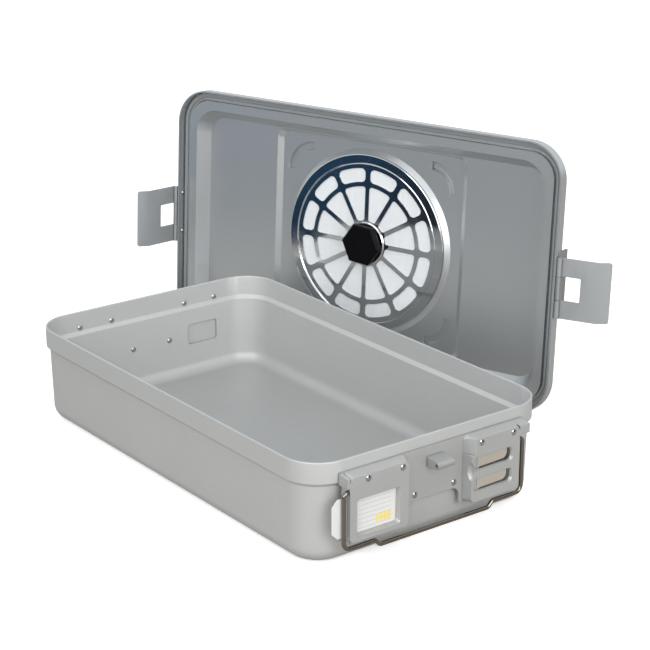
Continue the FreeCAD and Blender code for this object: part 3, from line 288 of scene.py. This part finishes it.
@dataclass(frozen=True)
class Finish:
    """A surface finish.

    Attributes:
        name: The material's name.
        slot: The record's material slot; not used.
        colour: Linear colour.
        shade: How much darker the colour's patches are, as a share.
        roughness: Lowest and highest roughness.
        edge: Radius that hard edges seem to have, in metres.
        metal: How metallic the surface is.
        specular: Strength of the gloss where the surface isn't metal.
        grain: Direction of the drawing or brushing lines.
        patches: Pattern of the darker patches.
        gloss: Pattern of the roughness.
        skin: Pattern of the fine relief.
        depth: Depth of the fine relief in metres.
    """

    name: str
    slot: str
    colour: Colour
    shade: float = 0.1
    roughness: Range = (0.4, 0.5)
    edge: float = 0.0003
    metal: float = 0.0
    specular: float = 0.5
    grain: Grain = Grain.EVEN
    patches: Pattern = Pattern(14.0)
    gloss: Pattern = Pattern(45.0)
    skin: Pattern = Pattern(2500.0, 2.0)
    depth: float = 0.00002

    def darker(self, share: float) -> Colour:
        """The colour with a share of its light taken away."""
        return tuple(channel * (1.0 - share) for channel in self.colour)

    def material(self) -> bpy.types.Material:
        """The finish's material, made once."""
        return bpy.data.materials.get(self.name) or self.build()

    def colouring(self, nodes: Shading) -> Socket:
        """Colour with its darker patches.

        Args:
            nodes: The material being made.

        Returns:
            The colour socket.
        """
        patches = nodes.spread(nodes.noise(self.patches))
        return nodes.blend(patches, self.colour, self.darker(self.shade))

    def build(self) -> bpy.types.Material:
        """Make the material.

        Returns:
            A material with patches of colour, uneven gloss and a fine relief.
        """
        nodes = Shading(bpy.data.materials.new(self.name))
        gloss = nodes.noise(self.gloss, self.grain.value)
        skin = nodes.noise(self.skin, self.grain.value)
        nodes.close(nodes.node(
            "BsdfPrincipled",
            Base_Color=self.colouring(nodes),
            Metallic=self.metal,
            Specular_IOR_Level=self.specular,
            Roughness=nodes.spread(gloss, *self.roughness),
            Normal=nodes.relief(skin, self.depth, self.edge),
        ))
        return nodes.owner


@dataclass(frozen=True)
class SatinMetal(Finish):
    """Etched and anodised or brushed sheet metal, cloudy and specked, with painted shade in its seams.

    Attributes:
        specks: Pattern of the specks.
        speck_level: Value of that pattern above which there is a speck.
        speck_shade: How much darker a speck is, as a share.
        speck_share: How much of a speck shows.
        floor_shade: How much darker painted shade makes a floor that looks up, as a share.
        floor_height: Height below which a face that looks up is that floor, in metres.
        floor_slope: How far a face looks up where the painted shade begins, and where it is full.
        seam: Painted shade in the surface's seams, steps and corners.
    """

    patches: Pattern = Pattern(9.0, 4.0)
    gloss: Pattern = Pattern(160.0, 4.0)
    skin: Pattern = Pattern(2200.0, 2.0)
    depth: float = 0.00001
    specks: Pattern = Pattern(420.0, 2.0)
    speck_level: float = 0.74
    speck_shade: float = 0.5
    speck_share: float = 0.25
    floor_shade: float = 0.0
    floor_height: float = 0.02
    floor_slope: Range = (0.2, 1.0)
    seam: SeamShade = SeamShade()

    def floor_shade_mask(self, nodes: Shading) -> Socket:
        """Mask of the painted shade on the floor inside, softened where it turns up into the walls.

        Args:
            nodes: The material being made.

        Returns:
            Socket with the share of light that the painted shade takes from the floor.
        """
        up = nodes.axis(nodes.node("NewGeometry").outputs["Normal"], "Z")
        flat = nodes.ramp(up, self.floor_slope, 0.0, self.floor_shade)
        low = nodes.math("LESS_THAN", nodes.axis(nodes.place(), "Z"), self.floor_height)
        return nodes.math("MULTIPLY", flat, low)

    def colouring(self, nodes: Shading) -> Socket:
        """Cloudy colour with specks, painted shade on a floor and painted shade in the seams.

        Args:
            nodes: The material being made.

        Returns:
            The colour socket.
        """
        cloudy = super().colouring(nodes)
        specks = nodes.math("GREATER_THAN", nodes.noise(self.specks), self.speck_level)
        shown = nodes.math("MULTIPLY", specks, self.speck_share)
        colour = nodes.blend(shown, cloudy, self.darker(self.speck_shade))
        # Painted shade: low faces that look up, the tub's floor inside, are darkened towards black.
        if self.floor_shade:
            colour = nodes.blend(self.floor_shade_mask(nodes), colour, BLACK)
        # Painted shade: the colour goes towards near black where ambient occlusion finds a seam, step or
        # corner.
        return nodes.painted_seam_shade(colour, self.seam)


@dataclass(frozen=True)
class BrightMetal(Finish):
    """Polished or plated metal with a near mirror gloss, dulled by faint wiping marks."""

    metal: float = 1.0
    patches: Pattern = Pattern(30.0, 5.0)
    gloss: Pattern = Pattern(90.0, 4.0)
    skin: Pattern = Pattern(60.0, 2.0)


@dataclass(frozen=True)
class MouldedPlastic(Finish):
    """Moulded plastic with a soft gloss and a faint orange peel."""

    specular: float = 0.06
    patches: Pattern = Pattern(60.0)
    gloss: Pattern = Pattern(120.0)
    skin: Pattern = Pattern(700.0, 2.0)
    depth: float = 0.00003


@dataclass(frozen=True)
class FilterPaper(Finish):
    """Pressed paper filter with short fibres.

    Attributes:
        fibre: Pattern of the fibres.
        fibre_ways: Scale along each axis, for each of the two ways that the fibres lie.
    """

    depth: float = 0.00012
    fibre: Pattern = Pattern(300.0, 4.0)
    fibre_ways: tuple[Place, Place] = ((1.0, 0.12, 0.12), (0.12, 0.12, 1.0))

    def build(self) -> bpy.types.Material:
        """Make the material.

        Returns:
            Matt paper whose fibres give its colour, gloss and relief.
        """
        nodes = Shading(bpy.data.materials.new(self.name))
        fibres = nodes.math("MAXIMUM", *[nodes.noise(self.fibre, way) for way in self.fibre_ways])
        nodes.close(nodes.node(
            "BsdfPrincipled",
            Base_Color=nodes.blend(nodes.spread(fibres), self.darker(self.shade), self.colour),
            Roughness=nodes.spread(fibres, *self.roughness),
            Normal=nodes.relief(fibres, self.depth, self.edge),
        ))
        return nodes.owner


@dataclass(frozen=True)
class PrintedCard(Finish):
    """White card with plain ruled rows and a row of plain yellow blocks.

    Attributes:
        end: The tub's end that the card is at.
        row_pitch: Distance between ruled rows.
        row_share: Thickness of a row line as a share of the pitch.
        row_colour: Colour of the row lines.
        row_ink: How strongly they are printed.
        print_left: Left end of the rows, seen from outside.
        print_right: Right end of the rows and blocks.
        print_low: Height of the lowest row.
        print_high: Height of the highest row.
        block_low: Height of the yellow blocks' lower edge.
        block_high: Height of their upper edge.
        block_left: Left end of the row of blocks.
        block_pitch: Distance between blocks.
        block_share: Width of a block as a share of the pitch.
        block_colour: Colour of the blocks.
        block_ink: How strongly they are printed.
    """

    patches: Pattern = Pattern(60.0)
    gloss: Pattern = Pattern(300.0)
    skin: Pattern = Pattern(1500.0)
    depth: float = 0.00001
    end: End = End.NEAR
    row_pitch: float = 0.0042
    row_share: float = 0.1
    row_colour: Colour = (0.22, 0.23, 0.26)
    row_ink: float = 0.5
    print_left: float = -0.0905
    print_right: float = -0.0545
    print_low: float = 0.0335
    print_high: float = 0.061
    block_low: float = 0.0345
    block_high: float = 0.0425
    block_left: float = -0.0715
    block_pitch: float = 0.0045
    block_share: float = 0.78
    block_colour: Colour = (0.80, 0.62, 0.10)
    block_ink: float = 0.85

    def span(self, nodes: Shading, value: Value, low: float, high: float) -> Socket:
        """Mask of a coordinate between two values.

        Args:
            nodes: The material being made.
            value: The coordinate.
            low: Lower value.
            high: Higher value.

        Returns:
            Socket that is 1 between them and 0 elsewhere.
        """
        above = nodes.math("GREATER_THAN", value, low)
        below = nodes.math("LESS_THAN", value, high)
        return nodes.math("MULTIPLY", above, below)

    def stripes(self, nodes: Shading, value: Value, pitch: float, share: float) -> Socket:
        """Mask of the first part of each pitch along a coordinate.

        Args:
            nodes: The material being made.
            value: The coordinate.
            pitch: Distance between stripes.
            share: Width of a stripe as a share of the pitch.

        Returns:
            Socket that is 1 on the stripes and 0 elsewhere.
        """
        phase = nodes.math("FRACT", nodes.math("DIVIDE", value, pitch))
        return nodes.math("LESS_THAN", phase, share)

    def colouring(self, nodes: Shading) -> Socket:
        """Paper with its print placed by the row frame's own coordinates.

        Args:
            nodes: The material being made.

        Returns:
            The colour socket.
        """
        across = nodes.math("MULTIPLY", nodes.axis(nodes.place(), "Y"), self.end.value)
        up = nodes.axis(nodes.place(), "Z")
        colour = super().colouring(nodes)
        rows = (
            self.span(nodes, across, self.print_left, self.print_right),
            self.span(nodes, up, self.print_low, self.print_high),
            self.stripes(nodes, up, self.row_pitch, self.row_share),
        )
        blocks = (
            self.span(nodes, across, self.block_left, self.print_right),
            self.span(nodes, up, self.block_low, self.block_high),
            self.stripes(nodes, across, self.block_pitch, self.block_share),
        )
        prints = ((rows, self.row_ink, self.row_colour), (blocks, self.block_ink, self.block_colour))
        for (width, height, stripes), ink, tint in prints:
            printed = nodes.math("MULTIPLY", nodes.math("MULTIPLY", width, height), stripes)
            colour = nodes.blend(nodes.math("MULTIPLY", printed, ink), colour, tint)
        return colour


# The tub's finish paints shade on its floor inside and in its seams.
TUB_METAL = SatinMetal(
    "tub_anodised", "anodised", (0.56, 0.567, 0.562), 0.04, (0.48, 0.56), edge=0.0012, metal=0.5,
    floor_shade=0.16)
LID_METAL = SatinMetal(
    "lid_anodised", "lid_anodised", (0.29, 0.305, 0.315), 0.05, (0.44, 0.52), edge=0.0009, metal=0.6)
PLATE_METAL = SatinMetal(
    "end_plate_satin", "plate_steel", (0.50, 0.505, 0.50), 0.06, (0.42, 0.52), edge=0.0006, metal=0.6,
    grain=Grain.ACROSS)
LATCH_METAL = SatinMetal(
    "latch_satin", "latch_steel", (0.375, 0.39, 0.40), 0.06, (0.4, 0.5), edge=0.0004, metal=0.6,
    grain=Grain.UPRIGHT)
BRACKET_METAL = SatinMetal(
    "bracket_satin", "plate_steel", (0.40, 0.41, 0.415), 0.08, (0.36, 0.46), edge=0.0003, metal=0.8)
LUG_METAL = SatinMetal(
    "lug_satin", "lug", (0.44, 0.443, 0.44), 0.08, (0.4, 0.5), edge=0.0005, metal=0.6)
SPRING_METAL = SatinMetal(
    "tag_spring_sheet", "spring_sheet", (0.80, 0.74, 0.66), 0.1, (0.1, 0.18), edge=0.0002, metal=0.9)
RIVET_METAL = BrightMetal(
    "rivet_bright", "rivet", (0.46, 0.46, 0.46), 0.15, (0.07, 0.14), edge=0.0003)
CHROME = BrightMetal(
    "plate_chrome", "chrome", (0.74, 0.75, 0.77), 0.05, (0.05, 0.12), edge=0.0003)
WIRE_METAL = BrightMetal(
    "bail_bright", "bail_wire", (0.27, 0.235, 0.20), 0.15, (0.05, 0.12), edge=0.0002)
GASKET_RUBBER = Finish(
    "gasket_silicone", "silicone", (0.27, 0.285, 0.295), 0.08, (0.55, 0.7), edge=0.0005)
BUTTON_PLASTIC = MouldedPlastic(
    "button_black", "button", (0.004, 0.004, 0.005), 0.3, (0.28, 0.4), edge=0.0008)
FILTER = FilterPaper(
    "filter_paper", "filter", (0.74, 0.76, 0.78), 0.08, (0.85, 0.95), edge=0.0001)
NEAR_CARD = PrintedCard(
    "near_card_print", "card", (0.68, 0.68, 0.665), 0.04, (0.55, 0.7), edge=0.0001)
FAR_CARD = replace(NEAR_CARD, name="far_card_print", end=End.FAR)


def only(piece: bpy.types.Object) -> None:
    """Leave one object selected and active.

    Args:
        piece: The object.
    """
    bpy.ops.object.select_all(action="DESELECT")
    piece.select_set(True)
    bpy.context.view_layer.objects.active = piece


def linked(name: str, data: bpy.types.ID) -> bpy.types.Object:
    """New object in the scene.

    Args:
        name: Its name.
        data: Its mesh, lamp or camera.

    Returns:
        The object.
    """
    made = bpy.data.objects.new(name, data)
    bpy.context.scene.collection.objects.link(made)
    return made


def modify(piece: bpy.types.Object, kind: str, **settings: object) -> None:
    """Add a modifier to the active object and apply it.

    Args:
        piece: The active object.
        kind: The modifier's type.
        settings: Its settings.
    """
    modifier = piece.modifiers.new(kind.lower(), kind)
    for name, value in settings.items():
        setattr(modifier, name, value)
    bpy.ops.object.modifier_apply(modifier=modifier.name)


def dress(piece: bpy.types.Object, finish: Finish, crease: float) -> None:
    """Shade a piece, give it its finish and report it.

    Args:
        piece: The piece.
        finish: Its finish.
        crease: Angle in degrees above which an edge stays sharp.
    """
    only(piece)
    bpy.ops.object.shade_smooth_by_angle(angle=math.radians(crease))
    piece.data.materials.clear()
    piece.data.materials.append(finish.material())
    LOG.info("%s: %d faces", piece.name, len(piece.data.polygons))


@dataclass
class SheetPart:
    """A CAD piece whose faces are joined and shaded as smooth metal.

    Attributes:
        node: The CAD node it stands for.
        finish: Its finish.
        crease: Angle in degrees above which an edge stays sharp.
        join: Distance within which corners are one, in metres.
    """

    node: str
    finish: Finish
    crease: float = 32.0
    join: float = 0.000002

    def make(self) -> bpy.types.Object:
        """Copy the node's mesh, join its faces, dress it and put it in the node's place.

        Returns:
            The finished piece.
        """
        source = frame["nodes"][self.node]
        piece = linked(f"{self.node}_finished", source.data.copy())
        only(piece)
        bpy.ops.object.mode_set(mode="EDIT")
        bpy.ops.mesh.select_all(action="SELECT")
        bpy.ops.mesh.remove_doubles(threshold=self.join)
        bpy.ops.object.mode_set(mode="OBJECT")
        if piece.data.has_custom_normals:
            bpy.ops.mesh.customdata_custom_splitnormals_clear()
        dress(piece, self.finish, self.crease)
        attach(piece, source["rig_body"])
        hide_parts(self.node)
        return piece


@dataclass
class EndFittings:
    """What one end of the tub carries.

    Attributes:
        end: Which end it is.
    """

    end: End

    def make(self) -> None:
        """Finish the end plate and all that is on it."""
        name = self.end.name.lower()
        fittings = {
            "end_plate": PLATE_METAL,
            "catch_lug": LUG_METAL,
            "plate_rivets": RIVET_METAL,
            "tag_springs": SPRING_METAL,
            "label_card": NEAR_CARD if self.end is End.NEAR else FAR_CARD,
            "bail_handle": WIRE_METAL,
        }
        for piece, finish in fittings.items():
            SheetPart(f"{name}_{piece}", finish).make()


@dataclass
class Lid:
    """The lid with its gasket, latches, filter and retention plate.

    Attributes:
        plated_crease: Angle in degrees above which an edge of a plated piece stays sharp.
    """

    plated_crease: float = 20.0

    def shell(self) -> None:
        """Finish the shell and what lies in it."""
        pieces = {
            "lid_shell": LID_METAL,
            "lid_gasket": GASKET_RUBBER,
            "plate_seal": GASKET_RUBBER,
            "hex_button": BUTTON_PLASTIC,
            "filter_disc": FILTER,
        }
        for piece, finish in pieces.items():
            SheetPart(piece, finish).make()

    def retainer(self) -> None:
        """Finish the plated pieces that hold the filter."""
        for piece in ("filter_stud", "retention_plate", "plate_collar"):
            SheetPart(piece, CHROME, self.plated_crease).make()

    def latch(self, side: str) -> None:
        """Finish one latch.

        Args:
            side: Its side, left or right.
        """
        pieces = {
            "latch_bracket": BRACKET_METAL,
            "bracket_rivets": RIVET_METAL,
            "latch_pin": CHROME,
            "latch_flap": LATCH_METAL,
        }
        for piece, finish in pieces.items():
            SheetPart(f"{side}_{piece}", finish).make()

    def make(self) -> None:
        """Finish the lid's pieces."""
        self.shell()
        self.retainer()
        for side in ("left", "right"):
            self.latch(side)


@dataclass
class RibEnds:
    """Rounded ends that close the lid's four pressed stacking ribs.

    Attributes:
        centre_length: Distance of a rib's centre from the filter's axis along the lid.
        centre_width: The same across the lid.
        radius: Radius of the rib's middle line.
        foot: Half width of the rib where it leaves the sheet.
        crown: Half width of its crown.
        height: Height of the crown over the middle of the sheet.
        wall: Thickness of the sheet.
        rounding: Rounding of the crown's edge.
        rounding_steps: Facets over that rounding.
        steps: Facets round a full turn.
        crease: Angle in degrees above which an edge stays sharp.
    """

    centre_length: float = 0.074
    centre_width: float = 0.067
    radius: float = 0.028
    foot: float = 0.0066
    crown: float = 0.0043
    height: float = 0.0048
    wall: float = 0.0016
    rounding: float = 0.001
    rounding_steps: int = 3
    steps: int = 48
    crease: float = 40.0

    def lid_frame(self) -> Matrix:
        """Frame of the lid, level with the ribs' crowns on the filter's axis.

        Returns:
            Matrix whose X runs along the lid, Y across it and Z out of its roof.
        """
        axes = {joint["name"]: Vector(joint["axis"]) for joint in frame["record"]["behaviour"]["joints"]}
        across = axes["right_latch_hinge"].normalized()
        out = -axes["retainer_slide"].normalized()
        along = across.cross(out)
        disc = [vertex.co for vertex in frame["nodes"]["filter_disc"].data.vertices]
        centre = sum(disc, Vector()) / len(disc)
        top = max(vertex.co.dot(out) for vertex in frame["nodes"]["lid_shell"].data.vertices)
        origin = centre + out * (top - centre.dot(out))
        return Matrix.Translation(origin) @ Matrix((along, across, out)).transposed().to_4x4()

    def half_boss(self, name: str) -> bpy.types.Object:
        """Half of a round boss, beyond the rib's end at Y = 0.

        Args:
            name: The piece's name.

        Returns:
            The solid boss, with its crown at Z = 0.
        """
        bpy.ops.object.select_all(action="DESELECT")
        middle = (0.0, 0.0, -self.height / 2)
        bpy.ops.mesh.primitive_cone_add(
            vertices=self.steps, radius1=self.foot, radius2=self.crown, depth=self.height,
            location=middle)
        boss = bpy.context.object
        boss.name = name
        bpy.ops.object.transform_apply(location=True, rotation=False, scale=False)
        bpy.ops.object.mode_set(mode="EDIT")
        bpy.ops.mesh.select_all(action="SELECT")
        bpy.ops.mesh.bisect(plane_co=(0.0, 0.0, 0.0), plane_no=(0.0, 1.0, 0.0), clear_inner=True)
        bpy.ops.object.mode_set(mode="OBJECT")
        return boss

    def end(self, name: str) -> bpy.types.Object:
        """Half of a pressed round boss of sheet, open below.

        Args:
            name: The piece's name.

        Returns:
            The boss, with its crown at Z = 0.
        """
        boss = self.half_boss(name)
        for face in boss.data.polygons:
            face.select = face.center.z < -self.height + TOUCH
        bpy.ops.object.mode_set(mode="EDIT")
        bpy.ops.mesh.select_mode(type="FACE")
        bpy.ops.mesh.delete(type="FACE")
        bpy.ops.object.mode_set(mode="OBJECT")
        modify(boss, "BEVEL", width=self.rounding, segments=self.rounding_steps)
        modify(boss, "SOLIDIFY", thickness=self.wall, offset=-1.0)
        return boss

    def make(self) -> bpy.types.Object:
        """Put an end at both ends of every rib and join them.

        Returns:
            The joined piece.
        """
        lid = self.lid_frame()
        ends = []
        for along in (-1.0, 1.0):
            for across in (-1.0, 1.0):
                centre = Vector((along * self.centre_length, across * self.centre_width, 0.0))
                first = (Vector((along * self.radius, 0.0, 0.0)), (0.0, -across))
                last = (Vector((0.0, across * self.radius, 0.0)), (-along, 0.0))
                for arm, (x, y) in (first, last):
                    boss = self.end(f"rib_end_{len(ends)}")
                    turn = Matrix.Rotation(math.atan2(y, x) - math.pi / 2, 4, "Z")
                    boss.data.transform(lid @ Matrix.Translation(centre + arm) @ turn)
                    ends.append(boss)
        only(ends[0])
        for boss in ends:
            boss.select_set(True)
        bpy.ops.object.join()
        piece = bpy.context.object
        piece.name = "lid_rib_ends"
        dress(piece, LID_METAL, self.crease)
        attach(piece, "lid")
        return piece


@dataclass(frozen=True)
class Lamp:
    """A soft square lamp.

    Attributes:
        name: Its name.
        place: Where it hangs.
        target: Where it points.
        size: Its side.
        power: Its power in watts.
    """

    name: str
    place: Place
    target: Place
    size: float
    power: float

    def hang(self) -> None:
        """Hang the lamp."""
        lamp = bpy.data.lights.new(self.name, "AREA")
        lamp.shape = "SQUARE"
        lamp.size = self.size
        lamp.energy = self.power
        holder = linked(self.name, lamp)
        holder.location = self.place
        view = Vector(self.target) - Vector(self.place)
        holder.rotation_euler = view.to_track_quat("-Z", "Y").to_euler()


@dataclass
class Studio:
    """Floor, light and camera.

    Attributes:
        floor_size: Side of the floor.
        floor_seen: Floor colour that the camera sees.
        floor_reflected: Floor colour that light and metal meet.
        floor_glow: Light that the camera sees added to the floor.
        world_colour: Colour of the light all round, where the camera doesn't see it.
        card_place: Centre of the dark card.
        card_size: Size of the dark card.
        card_fade: Where its colour changes from the left's to the right's, from its centre.
        card_left: Its colour on the left.
        card_right: Its colour on the right.
        screen_place: Centre of the dark screen that stands past the near end.
        screen_size: Size of the dark screen.
        screen_turn: Degrees that the screen is turned about each axis.
        screen_colour: Its colour.
        camera_place: Where the camera stands.
        camera_azimuth: Degrees that the camera is turned round the object.
        camera_pitch: Degrees that it looks down.
        camera_lens: Focal length in millimetres.
        camera_sensor: Width of the sensor in millimetres.
        camera_reach: Nearest and farthest distance that the camera sees.
        lamps: The soft lamps.
    """

    floor_size: float = 12.0
    floor_seen: Colour = (0.9, 0.9, 0.9)
    floor_reflected: Colour = (0.445, 0.425, 0.40)
    floor_glow: float = 0.45
    world_colour: Colour = (0.785, 0.81, 0.82)
    card_place: Place = (-0.5, -1.6, 0.003)
    card_size: Place = (2.2, 2.4, 1.0)
    card_fade: Range = (-0.5, 0.35)
    card_left: Colour = (0.012, 0.10, 0.215)
    card_right: Colour = (0.02, 0.014, 0.01)
    screen_place: Place = (1.9, 1.3, 0.45)
    screen_size: Place = (2.2, 0.9, 1.0)
    screen_turn: Place = (90.0, 0.0, 124.0)
    screen_colour: Colour = (0.012, 0.012, 0.014)
    camera_place: Place = (1.43314, -1.03411, 0.7588)
    camera_azimuth: float = 52.69
    camera_pitch: float = 19.54
    camera_lens: float = 107.77
    camera_sensor: float = 36.0
    camera_reach: Range = (0.01, 50.0)
    lamps: tuple[Lamp, ...] = (
        Lamp("window_front", (1.2, -2.1, 1.2), (0.0, 0.0, 0.1), 1.6, 30.0),
        Lamp("ceiling", (0.2, -0.3, 2.4), (0.0, 0.0, 0.0), 2.0, 9.0),
        Lamp("window_right", (2.4, -0.1, 0.95), (0.0, 0.1, 0.1), 1.3, 25.0),
    )

    def floor(self) -> None:
        """Lay a pale floor that keeps the object's shadow."""
        bpy.ops.mesh.primitive_plane_add(size=self.floor_size, location=(0.0, 0.0, 0.0))
        plane = bpy.context.object
        plane.name = "pale_floor"
        nodes = Shading(bpy.data.materials.new("pale_floor"))
        seen = nodes.node("LightPath").outputs["Is Camera Ray"]
        matt = nodes.node("BsdfDiffuse", Color=nodes.blend(seen, self.floor_reflected, self.floor_seen))
        glow = nodes.node("Emission", Color=WHITE, Strength=nodes.math("MULTIPLY", seen, self.floor_glow))
        both = nodes.node("AddShader")
        for socket, shader in zip(both.inputs, (matt, glow)):
            nodes.feed(socket, shader.outputs[0])
        nodes.close(both)
        plane.data.materials.append(nodes.owner)

    def mirrored_only(self, name: str, place: Place, size: Place, turn: Place) -> bpy.types.Object:
        """Hang a flat card that only polished metal mirrors, as a photographer's flag does.

        Args:
            name: The card's name.
            place: Its centre.
            size: Its size.
            turn: Its turn about each axis, in degrees.

        Returns:
            The card, with no material.
        """
        angles = [math.radians(angle) for angle in turn]
        bpy.ops.mesh.primitive_plane_add(size=1.0, location=place, rotation=angles)
        card = bpy.context.object
        card.name = name
        card.scale = size
        bpy.ops.object.transform_apply(location=False, rotation=False, scale=True)
        for flag in ("camera", "diffuse", "transmission", "volume_scatter", "shadow"):
            setattr(card, f"visible_{flag}", False)
        return card

    def dark_card(self) -> None:
        """Lay the dark card in front, blue on its left."""
        card = self.mirrored_only("dark_card", self.card_place, self.card_size, (0.0, 0.0, 0.0))
        nodes = Shading(bpy.data.materials.new("dark_card"))
        share = nodes.ramp(nodes.axis(nodes.place(), "X"), self.card_fade)
        nodes.close(nodes.node("Emission", Color=nodes.blend(share, self.card_left, self.card_right)))
        card.data.materials.append(nodes.owner)

    def dark_screen(self) -> None:
        """Stand the dark screen past the near end."""
        screen = self.mirrored_only("dark_screen", self.screen_place, self.screen_size, self.screen_turn)
        nodes = Shading(bpy.data.materials.new("dark_screen"))
        nodes.close(nodes.node("Emission", Color=self.screen_colour))
        screen.data.materials.append(nodes.owner)

    def world(self) -> None:
        """Light all round, white to the camera."""
        world = bpy.data.worlds.new("studio_world")
        bpy.context.scene.world = world
        nodes = Shading(world)
        seen = nodes.node("LightPath").outputs["Is Camera Ray"]
        light = nodes.node("Background", Color=nodes.blend(seen, self.world_colour, WHITE))
        nodes.close(light, "OutputWorld")

    def camera(self) -> None:
        """Stand the camera where the photograph was taken from."""
        lens = bpy.data.cameras.new("studio_camera")
        lens.sensor_width = self.camera_sensor
        lens.lens = self.camera_lens
        lens.clip_start, lens.clip_end = self.camera_reach
        holder = linked("studio_camera", lens)
        holder.location = self.camera_place
        tilt = math.radians(90.0 - self.camera_pitch)
        holder.rotation_euler = (tilt, 0.0, math.radians(self.camera_azimuth))
        bpy.context.scene.camera = holder

    def make(self) -> None:
        """Build the studio."""
        bpy.context.scene.view_settings.view_transform = "Standard"
        self.floor()
        self.dark_card()
        self.dark_screen()
        self.world()
        for lamp in self.lamps:
            lamp.hang()
        self.camera()


def main() -> None:
    """Finish every piece, then set the studio round them."""
    logging.basicConfig(level=logging.INFO, format="%(message)s")
    SheetPart("tub_shell", TUB_METAL).make()
    for end in End:
        EndFittings(end).make()
    Lid().make()
    RibEnds().make()
    Studio().make()


if __name__ == "__main__":
    main()
